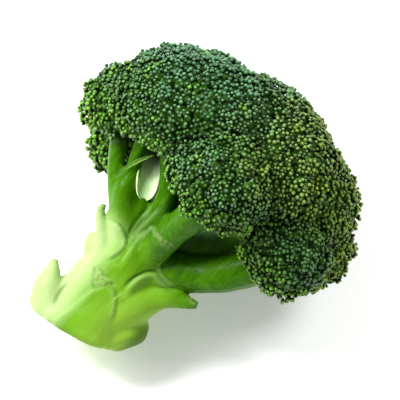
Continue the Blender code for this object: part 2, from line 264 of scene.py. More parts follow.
def ripple(points, scale, seed):
    """Smooth, even noise about -1 to 1: a few waves of the given length crossing at odd angles."""
    draw = np.random.default_rng(seed)
    total = np.zeros(len(points))
    for _ in range(6):
        way = unit(draw.normal(size=3))
        waves = points @ way * (2.0 * np.pi / scale) * draw.uniform(0.7, 1.4)
        total += np.sin(waves + draw.uniform(0.0, 6.3))
    return total / 3.0


shapes = []
for name in [name for name in STEM_NODES if name not in LIMB_STEMS] + STALK_NODES:
    points, faces = packed_shape(name)
    shapes.append((points + SKIN_GROWTH * outward_normals(points, faces), faces))
for name in FOOT_NODES:
    points, faces = packed_shape(name)
    shapes.append((points + SPARE_FOOT * CUT_FACING, faces))
for limb in LIMBS:
    path = smooth_path(limb, LIMB_STEPS)
    shapes.append(tubes(path[None, :, :3], path[None, :, 3], LIMB_ROUND))
flesh, flesh_faces = fused(*merged(shapes), SKIN_GRAIN)
give = np.full(len(flesh), BLEND_GIVE)
for tip in KEEN_TIPS:
    near = 1.0 - soft_step(length_of(flesh - tip[:3])[:, 0], 0.4 * tip[3], tip[3])
    give *= 1.0 - TIP_HOLD * near
flesh = relaxed(flesh, flesh_faces, BLEND_ROUNDS, give)

# The low lobe at the cut end is tucked in, and the rim of the cut is worn a little narrower.
tuck = soft_step(flesh[:, 0], *TUCK_ACROSS) * (1.0 - soft_step(flesh[:, 2], *TUCK_HEIGHTS))
flesh[:, 0] -= LOBE_TUCK * tuck
worn = 1.0 - RIM_WEAR * np.clip(1.0 + flesh @ CUT_FACING / RIM_HEIGHT, 0.0, 1.0) ** 2
flesh[:, :2] *= worn[:, None]

# Creases: the edges of the swollen feet of leaf stalks, and the folds where branches part. Each is how
# far the skin stands out on the right of the line, how deep the fold is, how wide the swelling is, and
# the line's points, as the turn round the stalk in degrees and the height.
CREASES = (
    (0.7, 0.7, 4, ((-147, 53), (-129, 54), (-118, 52), (-111, 49), (-110, 45), (-114, 40), (-120, 36))),
    (0.3, 0.5, 5, ((-110, 49), (-119, 55), (-122, 62), (-125, 72))),
    (0.4, 0.6, 6, ((-113, 52), (-117, 60), (-114, 67), (-110, 74))),
    (0.9, 0.3, 5, ((-107, 40), (-106, 46), (-109, 53), (-107, 60), (-100, 64), (-88, 65), (-78, 63))),
    (1.5, 0.6, 7, ((-80, 30), (-79, 36), (-75, 41), (-68, 45), (-58, 47), (-48, 46), (-38, 46))),
    (0.3, 0.6, 6, ((-52, 62), (-58, 56), (-58, 51), (-50, 48), (-38, 48))),
    (0.7, 0.3, 6, ((-96, 29), (-86, 28), (-77, 25), (-70, 21), (-63, 14))),
    (0.5, 0, 7, ((-125, -4), (-121, 9), (-116, 18), (-110, 25))),
    (0.5, 0.5, 6, ((-151, 17), (-147, 12), (-142, 7), (-135, 1), (-129, -6))),
    (1.3, 0.7, 6, ((2, 26), (4, 34), (14, 41), (28, 43), (42, 40), (50, 30))),
    (0.5, 0.7, 4, ((-10, 52), (8, 48), (24, 50), (34, 58))),
    (1.2, 0.6, 6, ((72, 36), (76, 46), (90, 52), (108, 51), (120, 44), (124, 34))),
    (0.5, 0.7, 4, ((58, 60), (66, 52), (60, 44), (56, 36))),
    (1.2, 0.6, 6, ((142, 22), (148, 32), (162, 38), (180, 37), (192, 28))),
    (0.5, 0.6, 4, ((130, 58), (136, 50), (150, 47), (172, 50))),
    (0.8, 0.3, 5, ((86, 8), (92, 18), (106, 23), (120, 18), (126, 8))),
    (0.3, 0.3, 2, ((-96, 29), (-104, 25), (-112, 23), (-121, 25), (-129, 29))),
    (0.2, 0.3, 1.5, ((-131, 30), (-122, 31), (-112, 30), (-103, 31), (-95, 30))),
)
CREASE_WIDTH = 0.75
CREASE_STEPS = 5
CREASE_FADE = 5.0
FULL_CREASE = 0.5
RIM_OFF, RIM_WIDTH = 1.6, 1.1
# Scars where leaf stalks broke off: the turn and height of each one's middle, half its width and height.
SCARS = (
    (-112, 27.6, 5.6, 3.6), (-80, 63, 3.6, 2), (20, 42, 5, 3), (160, 37, 5, 3),
    (-26, 45.6, 2.6, 2.4), (-165, 18.6, 1.8, 1.8), (-155, 55.4, 1.8, 1.8),
)
SCAR_REACH = 6.0
SKIN_REACH = 80.0
FORK_LEVEL = 52.0
# The cut face: how many rings it is shaped in, how deep the pith sinks, and where the ring of veins is.
FACE_RINGS = 26
PITH_SINK = 0.5
VEIN_RING, VEIN_WIDTH, VEIN_RISE = 0.74, 0.05, 0.35


def outward_at(turn):
    """The way straight out from the stalk's axis at a turn round it, in degrees."""
    return np.array([math.cos(math.radians(turn)), math.sin(math.radians(turn)), 0.0])


def on_skin(skin, line):
    """A line's points, moved to the outermost skin at their turn round the stalk and their height."""
    found = []
    for turn, height in line:
        way = Vector(outward_at(turn))
        place = skin.ray_cast(SKIN_REACH * way + Vector((0.0, 0.0, height)), -way)[0]
        if place is not None:
            found.append(place)
    return found


def beside_line(points, normals, path):
    """How far each point is from a line on the skin, and whether it is on the line's right."""
    nearest, right = np.inf, False
    for start, end in zip(path[:-1], path[1:]):
        way = end - start
        part = np.clip((points - start) @ way / (way @ way), 0.0, 1.0)
        off = points - start - part[:, None] * way
        away = length_of(off)[:, 0]
        right = np.where(away < nearest, (np.cross(way, normals) * off).sum(axis=1) > 0.0, right)
        nearest = np.minimum(nearest, away)
    return nearest, right


def creased(points, faces):
    """How far the creases and pads lift each point, and how near it is to a fold and to a pale rim."""
    skin = BVHTree.FromPolygons(points.tolist(), faces.tolist())
    normals = outward_normals(points, faces)
    lift, crease, rim = np.zeros((3, len(points)))
    for standing, depth, width, line in CREASES:
        path = smooth_path(on_skin(skin, line), CREASE_STEPS)
        away, right = beside_line(points, normals, path)
        ends = np.minimum(*(length_of(points - path[end])[:, 0] for end in (0, -1)))
        fade = soft_step(ends, 0.0, CREASE_FADE)
        fold = fade * np.exp(-(away / CREASE_WIDTH) ** 2)
        swell = np.where(right, soft_step(away, 0.0, 2.0) * np.exp(-(away / width) ** 2), 0.0)
        lift += standing * fade * swell - depth * fold
        crease = np.maximum(crease, min(1.0, depth / FULL_CREASE) * fold)
        rim = np.maximum(rim, fade * np.where(right, np.exp(-((away - RIM_OFF) / RIM_WIDTH) ** 2), 0.0))
    return lift, crease, rim


def scarred(points, faces):
    """How much of a rough, dried scar each point is in."""
    skin = BVHTree.FromPolygons(points.tolist(), faces.tolist())
    scar = np.zeros(len(points))
    for turn, height, half_width, half_height in SCARS:
        middle = np.array(on_skin(skin, ((turn, height),))[0])
        off = points - middle
        across = np.abs(off @ outward_at(turn + 90.0)) / half_width
        along = off[:, 2] / half_height
        # A rounded triangle, its point down, that reaches only so far through the stalk.
        shape = np.maximum(along, across - 0.75 * along - 0.25)
        reached = (np.abs(off @ outward_at(turn)) < SCAR_REACH) & (along > -1.6)
        scar = np.maximum(scar, (1.0 - soft_step(shape, 0.55, 1.0)) * reached)
    return scar


def cut_skin(points, faces, marks, height, facing, fill):
    """Cut a closed skin by a plane and drop what lies past it: points, faces, marks and the open rim."""
    mesh = new_mesh("cutting", points, faces)
    shape = bmesh.new()
    shape.from_mesh(mesh)
    bpy.data.meshes.remove(mesh)
    for mark, values in marks.items():
        layer = shape.verts.layers.float.new(mark)
        for vertex, value in zip(shape.verts, values):
            vertex[layer] = value
    everything = shape.verts[:] + shape.edges[:] + shape.faces[:]
    cut = bmesh.ops.bisect_plane(
        shape, geom=everything, dist=1e-4, plane_co=(0.0, 0.0, height), plane_no=facing, clear_outer=True
    )
    if fill:
        edges = [item for item in cut["geom_cut"] if isinstance(item, bmesh.types.BMEdge)]
        bmesh.ops.holes_fill(shape, edges=edges, sides=0)
    bmesh.ops.triangulate(shape, faces=shape.faces[:])
    shape.verts.index_update()
    follow = {}
    for edge in shape.edges:
        if len(edge.link_faces) == 1:
            loop = edge.link_loops[0]
            follow[loop.vert.index] = loop.link_loop_next.vert.index
    rims = []
    while follow:
        rims.append([next(iter(follow))])
        while follow[rims[-1][-1]] != rims[-1][0]:
            rims[-1].append(follow[rims[-1][-1]])
        for index in rims[-1]:
            del follow[index]
    points = np.array([vertex.co for vertex in shape.verts])
    faces = np.array([[vertex.index for vertex in face.verts] for face in shape.faces])
    kept_marks = {}
    for mark in marks:
        layer = shape.verts.layers.float[mark]
        kept_marks[mark] = np.array([vertex[layer] for vertex in shape.verts])
    shape.free()
    return points, faces, kept_marks, np.array(max(rims, key=len, default=()))


def cut_face(points, foot):
    """The cut end, in rings from its rim in to the pith: a rind, a raised ring of veins, a sunken middle."""
    middle = points[foot].mean(axis=0)
    places = []
    faces = []
    outer = foot
    nexts = np.roll(np.arange(len(foot)), -1)
    for ring in range(1, FACE_RINGS + 1):
        part = 1.0 - ring / (FACE_RINGS + 1.0)
        row = middle + part * (points[foot] - middle)
        sunk = PITH_SINK * soft_step(1.0 - part, 0.02, 0.16)
        sunk -= VEIN_RISE * math.exp(-((part - VEIN_RING) / VEIN_WIDTH) ** 2)
        sunk = sunk + 0.12 * ripple(row, 5.0, 7) * (1.0 - part ** 6)
        places.append(row - sunk[:, None] * CUT_FACING)
        inner = len(points) + (ring - 1) * len(foot) + np.arange(len(foot))
        faces.append(triangles(outer[nexts], outer, inner))
        faces.append(triangles(outer[nexts], inner, inner[nexts]))
        outer = inner
    places.append((middle - PITH_SINK * CUT_FACING)[None])
    faces.append(triangles(outer[nexts], outer, len(points) + FACE_RINGS * len(foot)))
    depth = np.append(np.repeat(np.arange(1, FACE_RINGS + 1), len(foot)) / (FACE_RINGS + 1.0), 1.0)
    return np.concatenate(places), np.concatenate(faces), depth


lift, crease, rim = creased(flesh, flesh_faces)
lift += SWELL * ripple(flesh, SWELL_LENGTH, 3) + DIMPLE * ripple(flesh, DIMPLE_LENGTH, 4)
flesh = flesh + outward_normals(flesh, flesh_faces) * lift[:, None]
scar = scarred(flesh, flesh_faces)
lift = scar * (SCAR_ROUGH * ripple(flesh, SCAR_LENGTH, 5) - SCAR_SINK)
flesh = flesh + outward_normals(flesh, flesh_faces) * lift[:, None]
# Painted shade: the lobe low on the right of the foot is painted darker than the rest.
low = soft_step(flesh[:, 0], *LOW_SHADE_ACROSS) * (1.0 - soft_step(flesh[:, 2], *LOW_SHADE_HEIGHTS))
marks = {"crease": crease, "rim": rim, "low": low, "scar": scar}
flesh, flesh_faces, marks, foot = cut_skin(flesh, flesh_faces, marks, 0.0, CUT_FACING, False)
face_points, face_faces, depth = cut_face(flesh, foot)
marks = {mark: np.append(values, np.zeros(len(depth))) for mark, values in marks.items()}
marks["cut"] = np.append(np.zeros(len(flesh)), np.ones(len(depth)))
marks["inward"] = np.append(np.zeros(len(flesh)), depth)
flesh = np.concatenate([flesh, face_points])
flesh_faces = np.concatenate([flesh_faces, face_faces])


def new_material(name, **settings):
    """An empty Principled material with these settings on its sockets, its tree and its shader."""
    material = bpy.data.materials.new(name)
    material.use_nodes = True
    shader = material.node_tree.nodes["Principled BSDF"]
    for title, value in settings.items():
        shader.inputs[title.replace("_", " ")].default_value = value
    return material, material.node_tree, shader


def feed(tree, socket, value):
    """Link an output to a socket, or set a number or a colour on it."""
    if isinstance(value, bpy.types.NodeSocket):
        tree.links.new(value, socket)
    else:
        socket.default_value = (*value, 1.0) if socket.type == "RGBA" else value


def node(tree, kind, **settings):
    """A new node's outputs. A setting named for one of its sockets sets or links that, and others its own."""
    made = tree.nodes.new("ShaderNode" + kind)
    for name, value in settings.items():
        if hasattr(made, name):
            setattr(made, name, value)
    for name, value in settings.items():
        if not hasattr(made, name):
            feed(tree, made.inputs[name if name in made.inputs else name.replace("_", " ")], value)
    return made.outputs


def mark_of(tree, name, kind="Fac"):
    """A mark that the mesh carries."""
    return node(tree, "Attribute", attribute_name=name)[kind]


def worked_out(tree, operation, *values):
    """The answer of a sum on values, each of them a number or an output."""
    made = tree.nodes.new("ShaderNodeMath")
    made.operation = operation
    for socket, value in zip(made.inputs, values):
        feed(tree, socket, value)
    return made.outputs[0]


def share(value, part):
    """A value turned down to a part of itself."""
    return worked_out(value.id_data, "MULTIPLY", value, part)


def ramp(value, low, high):
    """0 to 1 as a value goes from low to high."""
    smooth = {"interpolation_type": "SMOOTHSTEP", "Value": value, "From_Min": low, "From_Max": high}
    return node(value.id_data, "MapRange", **smooth)["Result"]


def blend(amount, first, second):
    """One colour over another by an amount."""
    mix = amount.id_data.nodes.new("ShaderNodeMix")
    mix.data_type = "RGBA"
    for index, value in ((0, amount), (6, first), (7, second)):
        feed(mix.id_data, mix.inputs[index], value)
    return mix.outputs[2]


def coated(colour, coats):
    """A colour under coats laid in turn: where each lies, how much it covers there, and its colour."""
    for where, cover, over in coats:
        colour = blend(share(where, cover), colour, over)
    return colour


def finish_skin(tree, shader, colour, relief):
    """Give a material its colour and its fine relief."""
    feed(tree, shader.inputs["Base Color"], colour)
    feed(tree, shader.inputs["Normal"], relief["Normal"])


def effect_group(name, inputs, output):
    """An empty node group with named sockets: Place is a vector, and the others are numbers."""
    group = bpy.data.node_groups.new(name, "ShaderNodeTree")
    for title in inputs:
        kind = "NodeSocketVector" if title == "Place" else "NodeSocketFloat"
        group.interface.new_socket(title, in_out="INPUT", socket_type=kind)
    group.interface.new_socket(output, in_out="OUTPUT", socket_type="NodeSocketFloat")
    return group, group.nodes.new("NodeGroupInput").outputs, group.nodes.new("NodeGroupOutput").inputs


def effect(tree, group, **settings):
    """One use of an effect group in a material, with its own values."""
    return node(tree, "Group", node_tree=group, **settings)[0]


# Fibre: fine paler and darker lines along the stalk and its branches, long for their width.
FIBRE_STRETCH = (1.0, 1.0, 0.07)
fibre, given, result = effect_group("fibre", ("Place", "Width"), "Lines")
drawn_out = node(fibre, "Mapping", Vector=given["Place"], Scale=FIBRE_STRETCH)["Vector"]
finer = worked_out(fibre, "DIVIDE", 1.0, given["Width"])
threads = node(fibre, "TexNoise", Vector=drawn_out, Scale=finer, Detail=3.0)
feed(fibre, result["Lines"], ramp(threads["Fac"], 0.32, 0.68))

# Bloom: patches of a size where the plant's grey-green wax still lies, over so much of the skin.
bloom, given, result = effect_group("bloom", ("Place", "Size", "Cover"), "Wax")
finer = worked_out(bloom, "DIVIDE", 1.0, given["Size"])
patches = node(bloom, "TexNoise", Vector=given["Place"], Scale=finer, Detail=4.0, Roughness=0.6)
edge = worked_out(bloom, "SUBTRACT", 1.0, given["Cover"])
feed(bloom, result["Wax"], ramp(patches["Fac"], edge, 0.80))

FLESH_MID = (0.092, 0.258, 0.003)
FLESH_LINE = (0.120, 0.310, 0.003)
FLESH_FOOT = (0.260, 0.460, 0.045)
# Pale green for the rims beside the creases, and painted light where the stalk's left side is lit.
FLESH_PALE_AND_PAINTED_LIGHT = (0.57, 0.71, 0.33)
FLESH_DEEP = (0.028, 0.116, 0.0003)
FLESH_LOW_PAINTED_SHADE = (0.022, 0.065, 0.003)
FLESH_WAX = (0.20, 0.36, 0.16)
CREASE_GREEN = (0.040, 0.130, 0.002)
SCAR_DRY = (0.30, 0.42, 0.13)
SCAR_BROWN = (0.12, 0.17, 0.03)
PITH = (0.66, 0.80, 0.42)
PITH_WET = (0.50, 0.68, 0.26)
VEIN_GREEN = (0.34, 0.56, 0.10)
RIND = (0.16, 0.38, 0.02)
FIBRE_WIDTH = 1.6
# Where a colour comes in over the upright head, from none to full: across, to the back, and in height.
FOOT_ACROSS, FOOT_HEIGHTS = (-15.0, 16.0), (54.0, 12.0)
LEFT_ACROSS, LEFT_HEIGHTS = (-5.0, -19.0), (62.0, 46.0)
BEHIND_DEPTHS, BEHIND_HEIGHTS = (-13.0, -6.0), (54.0, 66.0)
DEEP_HEIGHTS, DEEP_SLANT = (42.0, 62.0), 0.35

flesh_skin, tree, shader = new_material(
    "flesh_skin", Specular_IOR_Level=0.07, Subsurface_Weight=0.10, Subsurface_Scale=0.004
)
place = mark_of(tree, "as_grown", "Vector")
x, y, z = node(tree, "SeparateXYZ", Vector=place)
lines = effect(tree, fibre, Place=place, Width=FIBRE_WIDTH)
wax = effect(tree, bloom, Place=place, Size=16.0, Cover=0.50)
speck = node(tree, "TexNoise", Vector=place, Scale=1.1, Detail=3.0)["Fac"]
torn = node(tree, "TexNoise", Vector=place, Scale=0.8, Detail=4.0, Roughness=0.7)["Fac"]
scar = mark_of(tree, "scar")

mottle = effect(tree, bloom, Place=place, Size=2.4, Cover=0.52)
inward = mark_of(tree, "inward")
veins = share(ramp(inward, 0.34, 0.20), ramp(inward, 0.12, 0.20))
pith = coated(PITH, (
    (mottle, 0.5, PITH_WET),
    (veins, 1.0, VEIN_GREEN),
    (ramp(inward, 0.10, 0.02), 1.0, RIND),
))
foot_light = share(ramp(z, *FOOT_HEIGHTS), ramp(x, *FOOT_ACROSS))
# Painted light: the stalk's left side, toward the key lamp, is painted paler.
painted_left_light = share(ramp(x, *LEFT_ACROSS), ramp(z, *LEFT_HEIGHTS))
behind = share(ramp(y, *BEHIND_DEPTHS), ramp(z, *BEHIND_HEIGHTS))
deep_height = worked_out(tree, "ADD", z, share(x, DEEP_SLANT))
deep = blend(share(lines, 0.35), FLESH_DEEP, FLESH_MID)
dried = blend(ramp(torn, 0.42, 0.60), SCAR_BROWN, SCAR_DRY)
colour = coated(FLESH_MID, (
    (lines, 0.45, FLESH_LINE),
    (foot_light, 0.80, FLESH_FOOT),
    (painted_left_light, 0.60, FLESH_PALE_AND_PAINTED_LIGHT),
    (mark_of(tree, "low"), 0.72, FLESH_LOW_PAINTED_SHADE),
    (ramp(deep_height, *DEEP_HEIGHTS), 1.0, deep),
    (wax, 0.03, FLESH_WAX),
    (behind, 0.5, FLESH_WAX),
    (mark_of(tree, "crease"), 0.66, CREASE_GREEN),
    (mark_of(tree, "rim"), 0.14, FLESH_PALE_AND_PAINTED_LIGHT),
    (scar, 0.42, dried),
    (mark_of(tree, "cut"), 1.0, pith),
))
dull = node(tree, "MapRange", Value=wax, To_Min=0.32, To_Max=0.50)
feed(tree, shader.inputs["Roughness"], dull["Result"])
relief = node(tree, "Bump", Strength=0.25, Distance=0.0003, Height=speck)["Normal"]
relief = node(tree, "Bump", Strength=0.12, Distance=0.0004, Height=lines, Normal=relief)["Normal"]
broken = share(torn, scar)
relief = node(tree, "Bump", Strength=0.5, Distance=0.0008, Height=broken, Normal=relief)
finish_skin(tree, shader, colour, relief)


def add_piece(name, points, faces, nodes, material, marks):
    """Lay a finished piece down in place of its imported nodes. Each mark is a value for every point."""
    places = laid_down(points)
    places[:, 2] = np.maximum(places[:, 2], 0.0)
    mesh = new_mesh(name, places, faces)
    mesh.shade_smooth()
    grown = mesh.attributes.new("as_grown", "FLOAT_VECTOR", "POINT")
    grown.data.foreach_set("vector", points.astype(np.float32).ravel())
    for mark, values in marks.items():
        attribute = mesh.attributes.new(mark, "FLOAT", "POINT")
        attribute.data.foreach_set("value", values.astype(np.float32))
    mesh.materials.append(material)
    piece = new_object(name, mesh)
    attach(piece, "root")
    if nodes:
        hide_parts(*nodes)
    return piece


# The skin is parted at the fork: the stalk below it, the branches above it.
for name, slot, nodes, up in (
    ("stalk", "stalk", LIMB_STUBS + STALK_NODES, 1.0), ("branches", "stems", STEM_NODES, -1.0)
):
    part = cut_skin(flesh, flesh_faces, marks, FORK_LEVEL, (0.0, 0.0, up), True)
    add_piece(name, part[0], part[1], nodes, flesh_skin, part[2])


# ---- Leaf stalks left among the branches ----
# What is left of young leaves between the branches: one leaf stalk hollowed like a spoon, pale and waxy,
# and a thin torn strip. Each grows out of the fork and is only trimmed, so its edges are thin.

# Stations along each: x, y, height, half the width and the depth of its hollow.
SPOON = (
    (-14.6, -15.6, 70.2, 1.6, 0.8), (-15.2, -15.8, 72, 4, 1.8), (-16.6, -15.6, 75, 5.4, 3),
    (-18.6, -15, 78.8, 6, 4.2), (-21.4, -14, 83.6, 6, 5.8), (-24.4, -12.8, 88.6, 5.8, 6.8),
    (-27.6, -10.6, 95, 5.4, 7),
)
SPOON_WALL = 0.9
STRIP_WALL = 0.2
SPOON_OPENS = np.array([0.42, -0.88, 0.16])
STRIP = (
    (-31.8, -18, 74, 0.5, 0.3), (-30.6, -19.8, 78.5, 0.9, 0.4), (-28.8, -20.6, 83, 1.1, 0.4),
    (-26.6, -20.4, 87, 0.8, 0.4), (-24, -19.6, 91, 0.3, 0.2),
)
ARC_STEPS = 14


def spoon(stations, wall):
    """A long hollowed shape with a rounded foot, and a mark on the inside of its hollow."""
    path = smooth_path(stations, 5)
    middle, half, depth = np.split(path, (3, 4), axis=1)
    ahead = unit(np.gradient(middle, axis=0))
    side = unit(np.cross(ahead, SPOON_OPENS))
    front = np.cross(side, ahead)
    turn = np.linspace(-0.5 * np.pi, 0.5 * np.pi, ARC_STEPS)
    inner_wall = np.minimum(wall, 0.45 * np.minimum(half, depth))
    arcs = []
    for wide, deep, turn in ((half, depth, turn), (half - inner_wall, depth - inner_wall, turn[::-1])):
        across = side[:, None] * (wide * np.sin(turn))[:, :, None]
        arcs.append(middle[:, None] + across - front[:, None] * (deep * np.cos(turn))[:, :, None])
    points, faces = lofted(np.concatenate(arcs, axis=1)[None])
    hollow = np.tile(np.repeat([0.0, 1.0], ARC_STEPS), len(path))
    return points, faces, np.concatenate([hollow, [0.0, 0.0]])


LEAF_MINT = (0.72, 0.95, 0.50)
LEAF_GREEN = (0.13, 0.34, 0.02)
LEAF_SHADE = (0.010, 0.035, 0.004)
SHADE_HEIGHTS = (77.0, 92.0)

leaf_skin, tree, shader = new_material(
    "leaf_skin", Roughness=0.5, Subsurface_Weight=0.10, Subsurface_Scale=0.003
)
place = mark_of(tree, "as_grown", "Vector")
height = node(tree, "SeparateXYZ", Vector=place)["Z"]
lines = effect(tree, fibre, Place=place, Width=0.9)
colour = coated(LEAF_MINT, (
    (lines, 0.15, LEAF_GREEN),
    (effect(tree, bloom, Place=place, Size=9.0, Cover=0.55), 0.2, FLESH_WAX),
    # Painted shade: inside the hollow, the colour darkens toward the top.
    (ramp(height, *SHADE_HEIGHTS), mark_of(tree, "hollow"), LEAF_SHADE),
    (mark_of(tree, "green"), 1.0, LEAF_GREEN),
))
finish_skin(tree, shader, colour, node(tree, "Bump", Strength=0.3, Distance=0.0003, Height=lines))

points, faces, hollow = spoon(SPOON, SPOON_WALL)
marks = {"hollow": hollow, "green": np.zeros(len(points))}
add_piece("inner_leaf_stalk_skin", points, faces, ["inner_leaf_stalk"], leaf_skin, marks)
points, faces, hollow = spoon(STRIP, STRIP_WALL)
marks = {"hollow": 0.0 * hollow, "green": np.ones(len(points))}
add_piece("torn_leaf_strip", points, faces, [], leaf_skin, marks)


# ---- Crown ----
# Fifteen florets, each a dome of closed flower buds on a tree of branchlets. Buds stand in clusters, and
# clusters in lobes, with dark grooves between them. The domes press together into one crown.

BUD_SPACING = 2.16
BUD_RADIUS = 1.12
CLUSTER_SPACING = 5.8
LOBE_SPACING = 14.0
CLUSTER_BUDS = 16
GOLDEN_TURN = math.pi * (3.0 - math.sqrt(5.0))
UNDERSIDE = -0.46
LOW_SKIRTS = {"back_left": -0.80, "front_right": -0.84, "right": -0.62, "front_left": -0.34}
# How high buds stand: they drop into the grooves between clusters and the valleys between lobes.
CLUSTER_RISE, LOBE_RISE, SKIN_DROP = 1.4, 2.6, 3.8
CLUSTER_UNEVEN, BUD_UNEVEN = 0.60, 0.40
# How far buds lean away from the middle of their cluster and of their lobe.
CLUSTER_SPLAY, LOBE_SPLAY, LEAN_UNEVEN = 3.6, 1.2, 0.10
# Where domes meet: how far one reaches into the next, how far they are rounded together, and the cleft,
# darkened with painted shade.
CELL_SLACK = 6.0
FILLET, TOP_FILLET, TOP_LEVEL = 2.6, 26.0, 108.0
FILLET_LIFT = 0.25
CLEFT_WIDTH, CLEFT_PAINTED_SHADE = 3.4, 0.85
# How much of a bud's shade comes from its cluster, from its lobe and from itself.
TONE_SHARES = (0.44, 0.30, 0.26)
# How much the grooves between clusters and the valleys between lobes are darkened with painted shade.
GROOVE_SHADE, VALLEY_SHADE = 0.55, 0.45
FRESH_SHARE, FRESH_MOST = 0.045, 0.75
# Buds, clusters and lobes stand in a honeycomb, each nudged by a share of its spacing. Sizes are shares
# of the bud's radius, and smaller in the middle of a cluster.
HONEYCOMB_AREA = 0.87
NUDGE, BUD_NUDGE = 0.16, 0.10
BUD_SIZES, MIDDLE_SIZE = (0.74, 1.14), 0.86
TOO_NEAR = 1.50
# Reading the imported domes: rounds of fitting, how far off a point may be, and how far a stem's end goes.
FIT_ROUNDS, FIT_SLACK, STEM_END = 4, 1.2, 1.12


class Dome:
    """Where one floret's dome sits: its middle, its size, and the middle of its flat foot."""

    def __init__(self, name):
        self.name = name
        points = kept = packed_shape("floret_" + name)[0]
        # The ball through the dome's points, fitted again without those of its flat foot.
        for _ in range(FIT_ROUNDS):
            system = np.column_stack([2.0 * kept, np.ones(len(kept))])
            found = np.linalg.lstsq(system, (kept ** 2).sum(axis=1), rcond=None)[0]
            self.middle = found[:3]
            self.radius = math.sqrt(found[3] + self.middle @ self.middle)
            kept = points[length_of(points - self.middle)[:, 0] > self.radius - FIT_SLACK]
        stem = packed_shape("stem_" + name)[0]
        away = length_of(stem - self.middle)[:, 0]
        tip = stem[away < STEM_END * away.min()]
        self.foot = tip.mean(axis=0)
        self.stem_radius = length_of(tip - self.foot)[:, 0].max()
        self.lean = unit(self.middle - self.foot)


def scattered(spacing, radius, draw):
    """Directions spread evenly over a ball of this radius, so far apart, each nudged a little."""
    count = int(4.0 * math.pi * radius ** 2 / (HONEYCOMB_AREA * spacing ** 2))
    place = np.arange(count) + 0.5
    level = 1.0 - 2.0 * place / count
    turn = GOLDEN_TURN * place
    ring = np.sqrt(1.0 - level ** 2)
    ways = np.stack([ring * np.cos(turn), ring * np.sin(turn), level], axis=1)
    ways += draw.normal(scale=NUDGE * spacing / radius, size=ways.shape)
    return unit(ways @ np.linalg.qr(draw.normal(size=(3, 3)))[0])


def facing_frames(ways, spin):
    """For each direction, three axes: two across it, turned by spin, and the direction itself."""
    helper = np.where(np.abs(ways[:, 2:]) > 0.9, (1.0, 0.0, 0.0), (0.0, 0.0, 1.0))
    first = unit(np.cross(helper, ways))
    second = np.cross(ways, first)
    cos, sin = np.cos(spin)[:, None], np.sin(spin)[:, None]
    return np.stack([cos * first + sin * second, cos * second - sin * first, ways], axis=1)


def nearest_two(points, seeds):
    """For each point, which seed is nearest, how far it is, and how far the next one is."""
    away = np.sqrt(np.maximum(2.0 - 2.0 * points @ seeds.T, 0.0))
    two = np.partition(away, 1, axis=1)
    return away.argmin(axis=1), two[:, 0], two[:, 1]


